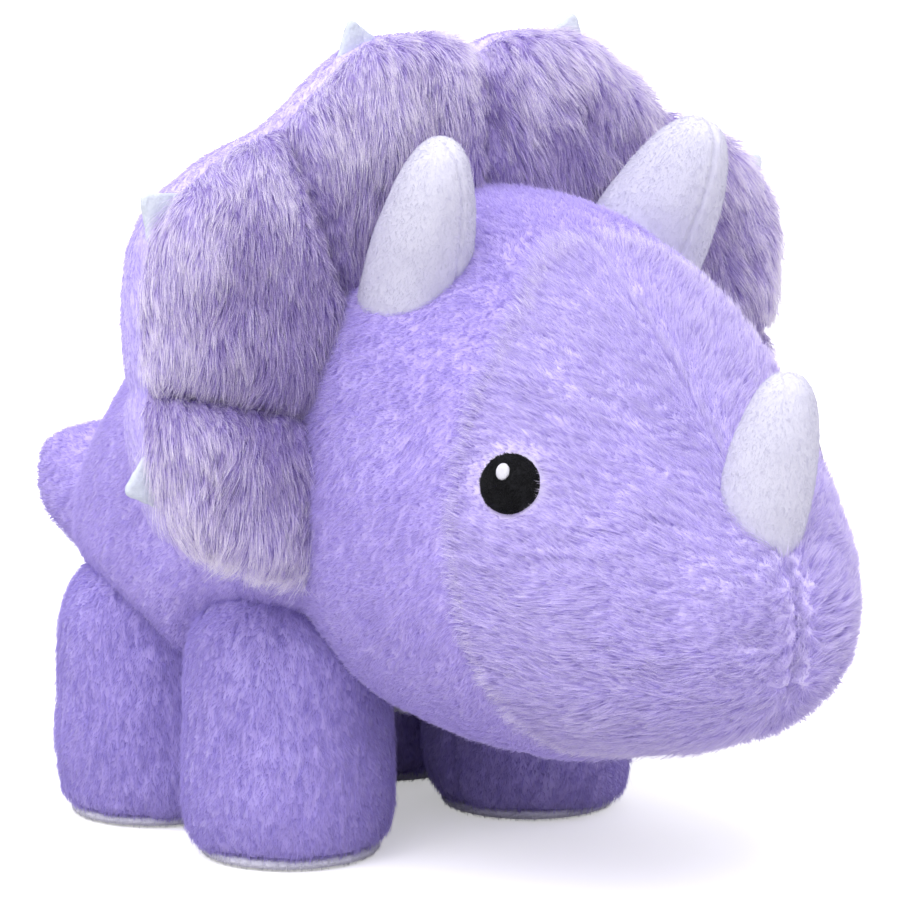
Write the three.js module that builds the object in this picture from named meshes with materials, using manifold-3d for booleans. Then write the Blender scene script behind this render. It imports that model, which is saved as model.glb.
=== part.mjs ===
// Stuffed three-horned dinosaur, a sewn plush toy about 300 mm tall.
// Millimetres, +Z up, nose towards -Y, the animal's left side is +X.
// Origin at the centre of the base of the bounding box; the four soles rest on z = 0.
//
// Each sewn piece is a node of its own: fabric panels are thin open shells, and the
// stuffing inside them is a solid that stays clear of the shell around it.
import * as THREE from 'three';
import { mergeVertices } from 'three/addons/utils/BufferGeometryUtils.js';
import Module from 'manifold-3d';

const wasm = await Module();
wasm.setup();

// ---------------------------------------------------------------- driving dimensions
const GAP = 0.35;              // room between touching pieces
const LOOSE = 1.2;             // room between a filling and the fabric around it
const SKIN = 3.0;              // thickness of plush fabric with its pile
const FELT = 3.0;              // thickness of a rim spike
const AROUND = 20;             // facets around a large soft body
const ALONG = 12;              // facets along it

const NECK = [0, 20, 135];     // centre of the ball on which the head turns and nods
const R_BALL = 89.5;           // front dome of the torso, centred on NECK
const R_CUP = 92.2;            // hollow in the back of the head, same centre
const R_PAD_OUT = 88.6;        // neck wadding, a dome between the two
const R_PAD_IN = 80.0;
const HEAD_END_Y = -5.0;       // back edge of the head panels
const FRILL_HOLE = 3;          // extra room round the neck for the frill's backing to turn in

const HIP_Z = 68;              // height of the leg joints
const LEG_R = 39;              // leg radius
const LEG_SWING = 12;          // degrees outwards; 4 towards the other leg on that side
const LEGS = {                 // [x, y] of each leg's centre line
  front_left: [58, 22], front_right: [-58, 22],
  rear_left: [56, 106], rear_right: [-56, 106],
};
const SOLE_R = 33;
const SOLE_T = 2.7;

const TAIL_PIVOT = [-5, 138, 108];
const TAIL_SWING = 15;         // degrees each way
const R_TAIL_SOCKET = 33.5;

const FRILL_FRONT_Y = -28;     // crest of the padded front segments
const FRILL_SEAM_Y = -14;      // front segments are sewn to the back panel here
const FRILL_BACK_Y = 3.5;

const EYE = { x: 78, y: -120.5, z: 154.5, r: 10.2 };

// rings of a soft body, each [y, z of the widest place, half width, height above it, depth
// below it, x of the middle, power of the oval: 2 is an ellipse, more is squarer]
const HEAD_RINGS = [
  [-184.0, 106, 0, 0, 0, 0, 2.1], [-182.8, 106, 15, 12, 13, 0, 2.1], [-179.5, 105, 27.5, 22, 22.5, 0, 2.15],
  [-173, 104, 38.5, 32.5, 30.5, 0, 2.2], [-163, 104, 49.5, 43, 39.5, 0, 2.2], [-150, 105.5, 60, 55, 47.5, 0, 2.2],
  [-134, 108.5, 70.5, 68, 54.5, 0, 2.2], [-115, 113, 80, 86, 62, 0, 2.2], [-93, 118, 87, 101, 71.5, 0, 2.2],
  [-68, 123, 91, 110.5, 78, 0, 2.2], [-43, 127, 91.5, 115, 80.5, 0, 2.2], [-20, 131, 88.5, 112, 80, 0, 2.15],
  [0, 135, 81, 101, 77, 0, 2.1], [14, 140, 63, 76, 66, 0, 2], [22, 143, 36, 43, 40, 0, 2], [25, 144, 0, 0, 0, 0, 2],
];
const BODY_RINGS = [
  [-69.5, 135, 0, 0, 0, 0, 2], [-62.7, 135, 34.2, 34.2, 34.2, 0, 2], [-43.3, 135, 63.3, 63.3, 63.3, 0, 2],
  [-14.2, 135, 82.7, 82.7, 82.7, 0, 2], [20, 120, 91, 104, 74.5, 0, 2.35], [46, 117, 93, 103, 71.5, 0, 2.45],
  [72, 114, 93, 98, 68.5, 0, 2.45], [96, 110.5, 90, 89, 64, 0, 2.4], [116, 108, 84, 77, 57, 0, 2.3],
  [134, 106.5, 74, 61, 48.5, 0, 2.2], [149, 105.5, 57, 43.5, 37, 0, 2.1], [157.5, 105, 35, 25, 22.5, 0, 2],
  [160.5, 105, 0, 0, 0, 0, 2],
];
const TAIL_RINGS = [
  [108, 108, 0, 0, 0, -5, 2], [112, 108, 15, 15, 15, -5, 2], [122, 108, 25.5, 25.5, 25.5, -5, 2],
  [139, 107.5, 31, 30.5, 30.5, -6, 2], [157, 107, 32, 32, 33, -10, 2], [174, 109, 29.5, 30, 32.5, -16, 2.1],
  [188, 112.5, 25, 26, 28, -22, 2.2], [198, 116, 19.5, 20.5, 21.5, -27, 2.2], [204.5, 118.5, 12, 12.5, 13, -30, 2.1],
  [207, 119.5, 0, 0, 0, -31, 2],
];
// leg profile, each [radius, z]
const LEG_PROFILE = [
  [0, 3], [31.5, 3], [36.8, 7], [39, 17], [38.5, 68], [33.4, 87.2], [19.3, 101.4], [0, 106.4],
];
// horns: base point, tip point, then rings as [share of the length, radius]
const BROW_HORN = { base: [52, -32, 199], tip: [64, -67, 265],
  rings: [[-0.12, 0], [-0.09, 11], [0, 20.5], [0.25, 20.4], [0.45, 19.2], [0.65, 17], [0.82, 13.6], [0.93, 9.6], [0.985, 5.2], [1, 0]] };
const NOSE_HORN = { base: [0, -157, 129], tip: [0, -174, 190],
  rings: [[-0.12, 0], [-0.09, 9], [0, 15], [0.25, 15.4], [0.45, 15], [0.65, 13.6], [0.82, 11], [0.93, 7.9], [0.985, 4.3], [1, 0]] };

// front edge of the face mask, seen from the side, each [y, z]
const MASK_EDGE = [[-66, 260], [-79, 232], [-86, 221], [-95, 206], [-98.5, 190], [-99.5, 165],
  [-99.5, 141], [-103, 108], [-107, 80], [-109, 30]];

// outline of the left half of the frill, seen from the front, each [x, z]
const FRILL_EDGE = [[0, 289.5], [10, 293.5], [21, 295.8], [33, 296], [46, 294.3], [58, 289], [70, 280],
  [80.5, 271.5], [89.5, 265.5], [101, 261.5], [113.5, 256.5], [126, 249.5], [135.5, 242.5], [142, 234],
  [145.5, 225], [147.3, 213], [147.3, 200], [146.3, 187], [144.5, 180], [146.5, 172], [145.5, 160], [143, 148],
  [139, 137], [133, 128], [118, 120], [102, 114], [84, 110], [70, 108.5]];
const FRILL_NOTCH_1 = 8;       // index of the outer end of the first sewn channel
const FRILL_NOTCH_2 = 18;      // index of the outer end of the second
const CHANNEL_1_IN = [55, 182];
const CHANNEL_2_IN = [72, 165];

// rim spikes on the left half: middle of the base [x, z], place across the rim, outward direction
const SPIKES = [
  { at: [49.5, 292.7], y: -5, out: [0.33, 1] },
  { at: [138.2, 239.5], y: -12, out: [1, 0.85] },
  { at: [143.8, 148.5], y: -9.5, out: [1, -0.25] },
];
const SPIKE_WIDTH = 22;
const SPIKE_HEIGHT = 9;

// ---------------------------------------------------------------- geometry helpers
// One closed solid from a closed three.js geometry.
function solid(geometry) {
  const bare = geometry.clone();
  for (const name of Object.keys(bare.attributes)) if (name !== 'position') bare.deleteAttribute(name);
  const merged = mergeVertices(bare, 1e-3);
  const index = merged.index.array;
  const keep = [];
  for (let i = 0; i < index.length; i += 3) {
    const [a, b, c] = [index[i], index[i + 1], index[i + 2]];
    if (a !== b && b !== c && c !== a) keep.push(a, b, c);
  }
  return new wasm.Manifold(new wasm.Mesh({
    numProp: 3,
    vertProperties: new Float32Array(merged.attributes.position.array),
    triVerts: new Uint32Array(keep),
  }));
}

// The largest body of a solid, as a three.js geometry.
function geometryOf(shape, detail) {
  const bodies = shape.simplify(detail).decompose();
  let best = bodies[0];
  for (const body of bodies) if (body.volume() > best.volume()) best = body;
  const mesh = best.getMesh();
  const geometry = new THREE.BufferGeometry();
  geometry.setAttribute('position', new THREE.BufferAttribute(new Float32Array(mesh.vertProperties), 3));
  geometry.setIndex(new THREE.BufferAttribute(new Uint32Array(mesh.triVerts), 1));
  geometry.computeVertexNormals();
  return geometry;
}

// Smooth value of a table of rings at t in 0..1; the ends are mirrored so that they stay round.
function ringAt(rings, t) {
  const last = rings.length - 1;
  const f = Math.min(Math.max(t, 0), 1) * last;
  const i = Math.min(Math.floor(f), last - 1);
  const u = f - i;
  const flipped = (r) => [r[0], r[1], -r[2], -r[3], -r[4], r[5], r[6]];
  const get = (k) => (k < 0 ? flipped(rings[-k]) : k > last ? flipped(rings[2 * last - k]) : rings[k]);
  const [p0, p1, p2, p3] = [get(i - 1), get(i), get(i + 1), get(i + 2)];
  return p1.map((_, k) => 0.5 * (2 * p1[k] + (p2[k] - p0[k]) * u
    + (2 * p0[k] - 5 * p1[k] + 4 * p2[k] - p3[k]) * u * u
    + (3 * p1[k] - p0[k] - 3 * p2[k] + p3[k]) * u * u * u));
}

// A soft body: a sphere whose rings take the table's places and sizes, thicker by grow.
function soft(rings, grow = 0, around = AROUND, along = ALONG) {
  const g = new THREE.SphereGeometry(1, around, along);
  const p = g.attributes.position;
  const y0 = rings[0][0];
  const y1 = rings[rings.length - 1][0];
  const middle = (y0 + y1) / 2;
  const stretch = 1 + (2 * grow) / (y1 - y0);
  for (let i = 0; i < p.count; i++) {
    const [x, y, z] = [p.getX(i), p.getY(i), p.getZ(i)];
    const t = 1 - Math.acos(Math.min(1, Math.max(-1, y))) / Math.PI;
    const [ry, rz, a, up, down, rx, power] = ringAt(rings, t);
    const pole = t < 1e-6 || t > 1 - 1e-6;
    const angle = Math.atan2(z, x);
    const c = Math.cos(angle);
    const s = Math.sin(angle);
    const e = 2 / power;
    const wx = pole ? 0 : (Math.max(a, 0) + grow) * Math.sign(c) * Math.abs(c) ** e;
    const wz = pole ? 0 : (Math.max(s > 0 ? up : down, 0) + grow) * Math.sign(s) * Math.abs(s) ** e;
    p.setXYZ(i, rx + wx, middle + (ry - middle) * stretch, rz + wz);
  }
  return solid(g);
}

const ball = (r, c, around = AROUND, along = ALONG) =>
  solid(new THREE.SphereGeometry(r, around, along).translate(...c));

const block = (lo, hi) => solid(new THREE.BoxGeometry(hi[0] - lo[0], hi[1] - lo[1], hi[2] - lo[2])
  .translate((hi[0] + lo[0]) / 2, (hi[1] + lo[1]) / 2, (hi[2] + lo[2]) / 2));

// A cone with its point at c, opening towards -Y, half angle in degrees.
function coneForward(c, halfAngle, length = 140, around = 24) {
  const g = new THREE.ConeGeometry(length * Math.tan(THREE.MathUtils.degToRad(halfAngle)), length, around);
  g.translate(0, -length / 2, 0);        // point at the origin, opening towards -Y
  return solid(g.translate(...c));
}

// A turned solid about the vertical line through [x, y].
function turned(profile, x, y, around = 16) {
  const g = new THREE.LatheGeometry(profile.map(([r, z]) => new THREE.Vector2(r, z)), around);
  g.rotateX(Math.PI / 2);                // the lathe's axis becomes +Z
  g.translate(x, y, 0);
  return solid(g);
}

// A horn: rings of one radius about the straight line from base to tip.
function horn(spec, grow = 0, around = 14, along = 10) {
  const base = new THREE.Vector3(...spec.base);
  const tip = new THREE.Vector3(...spec.tip);
  const length = base.distanceTo(tip);
  const rings = spec.rings.map(([s, r]) => [s * length, 0, r, r, r, 0, 2]);
  const g = new THREE.SphereGeometry(1, around, along);
  const p = g.attributes.position;
  const middle = (rings[0][0] + rings[rings.length - 1][0]) / 2;
  const stretch = 1 + (2 * grow) / (rings[rings.length - 1][0] - rings[0][0]);
  for (let i = 0; i < p.count; i++) {
    const t = 1 - Math.acos(Math.min(1, Math.max(-1, p.getY(i)))) / Math.PI;
    const [ry, , a] = ringAt(rings, t);
    const pole = t < 1e-6 || t > 1 - 1e-6;
    const angle = Math.atan2(p.getZ(i), p.getX(i));
    const r = pole ? 0 : Math.max(a, 0) + grow;
    p.setXYZ(i, r * Math.cos(angle), middle + (ry - middle) * stretch, r * Math.sin(angle));
  }
  const turn = new THREE.Quaternion().setFromUnitVectors(new THREE.Vector3(0, 1, 0), tip.clone().sub(base).normalize());
  g.applyQuaternion(turn);
  g.translate(base.x, base.y, base.z);
  return solid(g);
}

// Moves the points of a closed outline inwards by d along their normals.
function inset(points, d) {
  const n = points.length;
  let area = 0;
  for (let i = 0; i < n; i++) {
    const [a, b] = [points[i], points[(i + 1) % n]];
    area += a[0] * b[1] - b[0] * a[1];
  }
  const side = area > 0 ? 1 : -1;
  return points.map((p, i) => {
    const [a, b] = [points[(i + n - 1) % n], points[(i + 1) % n]];
    const e1 = new THREE.Vector2(p[0] - a[0], p[1] - a[1]).normalize();
    const e2 = new THREE.Vector2(b[0] - p[0], b[1] - p[1]).normalize();
    const m = new THREE.Vector2(-(e1.y + e2.y), e1.x + e2.x).multiplyScalar(side);
    const len = Math.max(m.length(), 0.6);
    const k = d / Math.max(0.5, (len / 2)) / len;
    return [p[0] + m.x * k, p[1] + m.y * k];
  });
}

// An outline in the XZ plane, extruded from yBack forwards to yFront, with its front edge rounded.
function slab(points, yBack, yFront, round = 0, steps = 2) {
  const shape = new THREE.Shape(points.map(([x, z]) => new THREE.Vector2(x, z)));
  const depth = yBack - yFront;
  const g = new THREE.ExtrudeGeometry(shape, round > 0
    ? { depth: depth, bevelEnabled: true, bevelThickness: round, bevelSize: round, bevelOffset: -round, bevelSegments: steps, steps: 1 }
    : { depth, bevelEnabled: false, steps: 1 });
  g.rotateX(Math.PI / 2);                // the outline stands up, extruded towards -Y
  g.translate(0, yBack, 0);
  const made = solid(g);
  // with a rounded edge the extrusion is longer by the rounding at both ends
  if (round <= 0) return made;
  return made.subtract(block([-400, yBack, -400], [400, yBack + 60, 600]));
}

// Leaves out points that are closer than d to the one before, but keeps both ends.
function sparse(points, d) {
  const kept = [points[0]];
  for (const p of points.slice(1, -1)) {
    const [q, end] = [kept[kept.length - 1], points[points.length - 1]];
    if (Math.hypot(p[0] - q[0], p[1] - q[1]) >= d && Math.hypot(p[0] - end[0], p[1] - end[1]) >= d) kept.push(p);
  }
  return [...kept, points[points.length - 1]];
}

const mirrored = (points) => points.map(([x, z]) => [-x, z]);
const colour = {
  short: 0xa893e6, mask: 0xbfaef4, frillFront: 0xb4a2d8, frillBack: 0xc8bcf2, belly: 0xc9c6d8,
  sole: 0xcbc8dc, horn: 0xe8e8f2, felt: 0xd6dede, eye: 0x141318, glint: 0xf2f2f4, wadding: 0xf4f3ef,
};
const group = new THREE.Group();
function add(name, shape, hex, roughness = 0.95) {
  const detail = /stuffing|wadding/.test(name) ? 0.4 : 0.08;   // hidden fillings are plainer
  const mesh = new THREE.Mesh(geometryOf(shape, detail),
    new THREE.MeshStandardMaterial({ color: hex, roughness, metalness: 0 }));
  mesh.name = name;
  group.add(mesh);
}

const FAR = 500;
const half = {
  left: block([GAP / 2, -FAR, -FAR], [FAR, FAR, FAR]),
  right: block([-FAR, -FAR, -FAR], [-GAP / 2, FAR, FAR]),
};
const sideOf = (name) => (name.endsWith('right') ? -1 : 1);

// ---------------------------------------------------------------- torso
const legCutter = {};
for (const [name, [x, y]] of Object.entries(LEGS)) {
  // room for the leg to swing about its hip: a ball, and an oval well below it
  const well = new THREE.CylinderGeometry(LEG_R + 1.2, LEG_R + 1.2, HIP_Z + 10, 16).rotateX(Math.PI / 2)
    .scale(1, (LEG_R + 1.2 + Math.sin(THREE.MathUtils.degToRad(LEG_SWING)) * 26) / (LEG_R + 1.2), 1)
    .translate(x, y, (HIP_Z - 10) / 2);
  legCutter[name] = ball(LEG_R + 1.6, [x, y, HIP_Z], 16, 10).add(solid(well));
}
const legRoom = Object.values(legCutter).reduce((a, b) => a.add(b));

const tailAt = (grow, degrees) => {
  const t = soft(TAIL_RINGS, grow, 16, 10);
  return t.translate(TAIL_PIVOT.map((v) => -v)).rotate([0, 0, degrees]).translate(TAIL_PIVOT);
};
const tailRoom = [-TAIL_SWING - 1, 0, TAIL_SWING + 1].map((d) => tailAt(1.2, d))
  .reduce((a, b) => a.add(b)).add(ball(R_TAIL_SOCKET + 1, TAIL_PIVOT, 16, 10));

const bodyOuter = soft(BODY_RINGS);
const bodyInner = soft(BODY_RINGS, -SKIN);
const BELLY_Z = 62;
const bodySkin = bodyOuter.subtract(bodyInner)
  .subtract(legRoom).subtract(tailRoom)
  .intersect(block([-FAR, -6, -FAR], [FAR, FAR, FAR]));
for (const side of ['left', 'right']) {
  add(`body_${side}_panel`, bodySkin.intersect(half[side])
    .intersect(block([-FAR, -FAR, BELLY_Z + GAP / 2], [FAR, FAR, FAR])), colour.short);
}
add('belly_panel', bodySkin.intersect(block([-FAR, -FAR, -FAR], [FAR, FAR, BELLY_Z - GAP / 2])), colour.belly);

const neckSeat = ball(R_BALL + 6, NECK, 16, 10).subtract(ball(R_PAD_IN - 0.8, NECK, 16, 10)).intersect(coneForward(NECK, 68, 140, 16));
add('body_stuffing', soft(BODY_RINGS, -SKIN - LOOSE)
  .subtract(legRoom).subtract(tailRoom).subtract(neckSeat), colour.wadding);
add('neck_stuffing', ball(R_PAD_OUT, NECK, 16, 10).subtract(ball(R_PAD_IN + 1.6, NECK, 16, 10)).intersect(coneForward(NECK, 54, 140, 16)), colour.wadding);

// ---------------------------------------------------------------- head
const cup = ball(R_CUP, NECK);
const behind = block([-FAR, HEAD_END_Y, -FAR], [FAR, FAR, FAR]);
const headSkin = soft(HEAD_RINGS).subtract(soft(HEAD_RINGS, -SKIN)).subtract(ball(R_CUP + 1.4, NECK)).subtract(behind);
const sheet = (points, shift) => {
  const shape = new THREE.Shape(points.map(([y, z]) => new THREE.Vector2(y + shift, z)));
  const g = new THREE.ExtrudeGeometry(shape, { depth: 300, bevelEnabled: false, steps: 1 });
  const toSide = new THREE.Matrix4().makeBasis(
    new THREE.Vector3(0, 1, 0), new THREE.Vector3(0, 0, 1), new THREE.Vector3(1, 0, 0));
  g.applyMatrix4(toSide).translate(-150, 0, 0);
  return solid(g);
};
const maskRegion = (shift) => sheet([[-260, 30], ...[...MASK_EDGE].reverse(), [-260, 260]], shift);
for (const side of ['left', 'right']) {
  add(`head_${side}_cheek`, headSkin.intersect(half[side]).subtract(maskRegion(GAP)), colour.short);
  add(`face_${side}_panel`, headSkin.intersect(half[side]).intersect(maskRegion(0)), colour.mask);
}
add('head_stuffing', soft(HEAD_RINGS, -SKIN - LOOSE).subtract(cup).subtract(behind), colour.wadding);

// ---------------------------------------------------------------- eyes
for (const side of ['left', 'right']) {
  const s = sideOf(side);
  // a round patch cut from a thin layer over the head, facing outwards and a little forwards
  const out = new THREE.Vector3(s * 0.78, -0.58, 0.22).normalize();
  const turn = new THREE.Quaternion().setFromUnitVectors(new THREE.Vector3(0, 1, 0), out);
  const place = (g, lift) => solid(g.applyQuaternion(turn).translate(s * (EYE.x + lift.x), EYE.y + lift.y, EYE.z + lift.z));
  const patch = place(new THREE.CylinderGeometry(EYE.r, EYE.r, 60, 20), { x: 0, y: 0, z: 0 });
  add(`eye_${side}`, patch.intersect(soft(HEAD_RINGS, 1.9, 32, 20)).subtract(soft(HEAD_RINGS, GAP + 0.1, 32, 20)), colour.eye);
  const spot = place(new THREE.CylinderGeometry(2.4, 2.4, 60, 12).scale(1, 1, 1.25), { x: -1.5, y: -2.2, z: 4 });
  add(`eye_${side}_highlight`, spot.intersect(soft(HEAD_RINGS, 3.1, 32, 20)).subtract(soft(HEAD_RINGS, 2.3, 32, 20)), colour.glint);
}

// ---------------------------------------------------------------- horns
const headClear = soft(HEAD_RINGS, GAP);
const RIGHT_HORN_MOVE = [2.5, -2.5, -2];   // the right brow horn is sewn on a little lower and further forward
const flip = (spec, s) => {
  const place = (p) => (s > 0 ? p : [-p[0] + RIGHT_HORN_MOVE[0], p[1] + RIGHT_HORN_MOVE[1], p[2] + RIGHT_HORN_MOVE[2]]);
  return { base: place(spec.base), tip: place(spec.tip), rings: spec.rings };
};
for (const [name, spec] of [['brow_horn_left', flip(BROW_HORN, 1)], ['brow_horn_right', flip(BROW_HORN, -1)], ['nose_horn', NOSE_HORN]]) {
  add(`${name}_skin`, horn(spec).subtract(horn(spec, -1.8)).subtract(headClear), colour.horn);
  add(`${name}_stuffing`, horn(spec, -1.8 - LOOSE).subtract(headClear), colour.wadding);
}

// ---------------------------------------------------------------- frill
const frillClear = soft(HEAD_RINGS, GAP).add(ball(R_CUP, NECK))
  .add(horn(flip(BROW_HORN, 1), 0.6)).add(horn(flip(BROW_HORN, -1), 0.6));
const halfEdge = sparse(FRILL_EDGE, 11);
const wholeEdge = [...halfEdge.slice(1), ...mirrored(halfEdge.slice(1)).reverse(), FRILL_EDGE[0]];
const RIM = 4;
add('frill_back_panel', slab(wholeEdge, FRILL_BACK_Y - 6, FRILL_SEAM_Y + GAP)
  .add(slab(wholeEdge, FRILL_BACK_Y - 6, FRILL_BACK_Y - 5.9, 6, 2).mirror([0, 1, 0]).translate([0, 2 * (FRILL_BACK_Y - 6), 0]))
  .subtract(slab(inset(wholeEdge, RIM), FRILL_BACK_Y - SKIN, FRILL_SEAM_Y - 5))
  .subtract(frillClear).subtract(ball(R_CUP + FRILL_HOLE, NECK)), colour.frillBack);

const patches = [
  [[0, 170], ...sparse(FRILL_EDGE.slice(0, FRILL_NOTCH_1 + 1), 17), CHANNEL_1_IN],
  [...sparse(FRILL_EDGE.slice(FRILL_NOTCH_1, FRILL_NOTCH_2 + 1), 17), CHANNEL_2_IN, CHANNEL_1_IN],
  [...sparse(FRILL_EDGE.slice(FRILL_NOTCH_2), 17), CHANNEL_2_IN],
];
const level = ['top', 'middle', 'lower'];
for (const side of ['left', 'right']) {
  const s = sideOf(side);
  patches.forEach((points, i) => {
    const outline = s > 0 ? points : mirrored(points);
    add(`frill_front_${side}_${level[i]}`,
      slab(inset(outline, 0.6), FRILL_SEAM_Y, FRILL_FRONT_Y + 9, 9, 2)
        .subtract(slab(inset(outline, 0.6 + SKIN), FRILL_SEAM_Y + 1, FRILL_FRONT_Y + 9 + 1.5, 7.5, 2))
        .subtract(frillClear), colour.frillFront);
    add(`frill_wadding_${side}_${level[i]}`,
      slab(inset(outline, 0.9 + SKIN + RIM * 0.3), FRILL_BACK_Y - SKIN - GAP, FRILL_FRONT_Y + 9 + 2.2, 7, 1)
        .subtract(frillClear).subtract(ball(R_CUP + FRILL_HOLE, NECK, 16, 10)), colour.wadding);
  });
  SPIKES.forEach(({ at, y, out }, i) => {
    const d = new THREE.Vector2(s * out[0], out[1]).normalize();
    const across = new THREE.Vector2(-d.y, d.x);
    const foot = new THREE.Vector2(s * at[0], at[1]).addScaledVector(d, 1.2);
    const a = foot.clone().addScaledVector(across, SPIKE_WIDTH / 2);
    const b = foot.clone().addScaledVector(across, -SPIKE_WIDTH / 2);
    const tip = foot.clone().addScaledVector(d, SPIKE_HEIGHT);
    add(`frill_spike_${side}_${level[i]}`,
      slab([[a.x, a.y], [b.x, b.y], [tip.x, tip.y]], y + FELT / 2, y - FELT / 2)
        .subtract(slab(inset(wholeEdge, -GAP), FRILL_BACK_Y + 2, FRILL_SEAM_Y - 4)), colour.felt);
  });
}

// ---------------------------------------------------------------- legs
// the front legs stay clear of the cheeks as the head turns and nods
const cheekRoom = (grow) => ball(108 + grow, NECK, 16, 10).intersect(block([-FAR, -FAR, -FAR], [FAR, 4 + grow, FAR]));
for (const [name, [x, y]] of Object.entries(LEGS)) {
  const outer = turned(LEG_PROFILE, x, y);
  const shrink = (d) => LEG_PROFILE.map(([r, z]) => [Math.max(r - d, 0), z > HIP_Z ? HIP_Z + (z - HIP_Z) * (1 - d / LEG_R) : z]);
  const core = (d, floor) => turned(shrink(d), x, y).add(turned([[0, 0], [SOLE_R - d, 0], [SOLE_R - d, 12], [0, 12]], x, y))
    .intersect(block([-FAR, -FAR, floor], [FAR, FAR, FAR]));
  add(`leg_${name}_skin`, outer.subtract(core(SKIN, -1)).subtract(cheekRoom(0)), colour.short);
  add(`leg_${name}_sole`, turned([[0, 0], [SOLE_R - 3, 0], [SOLE_R, SOLE_T], [0, SOLE_T]], x, y), colour.sole);
  add(`leg_${name}_stuffing`, core(SKIN + LOOSE, 3.1).subtract(cheekRoom(1.5)), colour.wadding);
}

// ---------------------------------------------------------------- tail
const tailInside = ball(R_TAIL_SOCKET, TAIL_PIVOT, 16, 10);
add('tail_skin', soft(TAIL_RINGS, 0, 14, 10).subtract(soft(TAIL_RINGS, -SKIN, 14, 10))
  .intersect(block([-FAR, TAIL_PIVOT[1] + 8, -FAR], [FAR, FAR, FAR])), colour.short);
add('tail_stuffing', soft(TAIL_RINGS, -SKIN - LOOSE, 14, 10), colour.wadding);

// the origin is the middle of the whole toy's length
group.position.set(0, -11.5, 0);

export default group;
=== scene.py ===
"""A plush three-horned dinosaur: sewn panels with a real pile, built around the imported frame."""
import math

import bpy
import numpy as np
from mathutils import Matrix, Quaternion, Vector


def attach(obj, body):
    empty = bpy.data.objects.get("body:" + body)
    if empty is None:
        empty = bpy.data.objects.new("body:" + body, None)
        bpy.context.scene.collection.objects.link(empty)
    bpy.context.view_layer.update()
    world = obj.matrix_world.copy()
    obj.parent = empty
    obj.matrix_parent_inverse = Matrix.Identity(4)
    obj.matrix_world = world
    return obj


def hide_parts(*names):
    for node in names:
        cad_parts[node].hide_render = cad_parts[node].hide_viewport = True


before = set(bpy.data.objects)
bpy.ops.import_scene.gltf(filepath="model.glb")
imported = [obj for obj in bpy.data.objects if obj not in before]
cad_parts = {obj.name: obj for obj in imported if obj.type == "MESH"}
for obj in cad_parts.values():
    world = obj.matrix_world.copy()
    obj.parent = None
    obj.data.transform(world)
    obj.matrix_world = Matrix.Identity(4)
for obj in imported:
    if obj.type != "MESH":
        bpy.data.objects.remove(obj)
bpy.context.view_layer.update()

DENSITY = 1.0          # share of the strands that are made
SHIFT = np.array([0.0, -11.5, 0.0])      # shapes below are in mm; the part's origin is 11.5 mm further back
scene = bpy.context.scene


def metres(p):
    return (np.asarray(p, float) + SHIFT) / 1000.0


# ------------------------------------------------------------------ shape tables (mm)
# rings: y, z of the widest place, half width, height above it, depth below it, x of the middle, power
HEAD_RINGS = [
    [-184.0, 106, 0, 0, 0, 0, 2.1], [-182.8, 106, 15, 12, 13, 0, 2.1], [-179.5, 105, 27.5, 22, 22.5, 0, 2.15],
    [-173, 104, 38.5, 32.5, 30.5, 0, 2.2], [-163, 104, 49.5, 43, 39.5, 0, 2.2], [-150, 105.5, 60, 55, 47.5, 0, 2.2],
    [-134, 108.5, 70.5, 68, 54.5, 0, 2.2], [-115, 113, 80, 86, 62, 0, 2.2], [-93, 118, 87, 101, 71.5, 0, 2.2],
    [-68, 123, 91, 110.5, 78, 0, 2.2], [-43, 127, 91.5, 115, 80.5, 0, 2.2], [-20, 131, 88.5, 112, 80, 0, 2.15],
    [0, 135, 81, 101, 77, 0, 2.1], [14, 140, 63, 76, 66, 0, 2], [22, 143, 36, 43, 40, 0, 2], [25, 144, 0, 0, 0, 0, 2],
]
BODY_RINGS = [
    [-69.5, 135, 0, 0, 0, 0, 2], [-62.7, 135, 34.2, 34.2, 34.2, 0, 2], [-43.3, 135, 63.3, 63.3, 63.3, 0, 2],
    [-14.2, 135, 82.7, 82.7, 82.7, 0, 2], [20, 120, 91, 104, 74.5, 0, 2.35], [46, 117, 93, 103, 71.5, 0, 2.45],
    [72, 114, 93, 98, 68.5, 0, 2.45], [96, 110.5, 90, 89, 64, 0, 2.4], [116, 108, 84, 77, 57, 0, 2.3],
    [134, 106.5, 74, 61, 48.5, 0, 2.2], [149, 105.5, 57, 43.5, 37, 0, 2.1], [157.5, 105, 35, 25, 22.5, 0, 2],
    [160.5, 105, 0, 0, 0, 0, 2],
]
TAIL_RINGS = [
    [108, 108, 0, 0, 0, -5, 2], [112, 108, 15, 15, 15, -5, 2], [122, 108, 25.5, 25.5, 25.5, -5, 2],
    [139, 107.5, 31, 30.5, 30.5, -6, 2], [157, 107, 32, 32, 33, -10, 2], [174, 109, 29.5, 30, 32.5, -16, 2.1],
    [188, 112.5, 25, 26, 28, -22, 2.2], [198, 116, 19.5, 20.5, 21.5, -27, 2.2], [204.5, 118.5, 12, 12.5, 13, -30, 2.1],
    [207, 119.5, 0, 0, 0, -31, 2],
]
LEG_RINGS = [
    [2.2, 0, 0, 0, 0, 0, 2], [2.2, 0, 17, 17, 17, 0, 2], [2.6, 0, 30.5, 30.5, 30.5, 0, 2], [5.4, 0, 36.2, 36.2, 36.2, 0, 2],
    [12.5, 0, 38.6, 38.6, 38.6, 0, 2], [22, 0, 39.6, 39.6, 39.6, 0, 2], [36, 0, 39.4, 39.4, 39.4, 0, 2],
    [52, 0, 38.4, 38.4, 38.4, 0, 2], [68, 0, 38.0, 38.0, 38.0, 0, 2], [83, 0, 35.2, 35.2, 35.2, 0, 2],
    [95.5, 0, 27, 27, 27, 0, 2], [103.5, 0, 15, 15, 15, 0, 2], [106.2, 0, 0, 0, 0, 0, 2],
]
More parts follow.
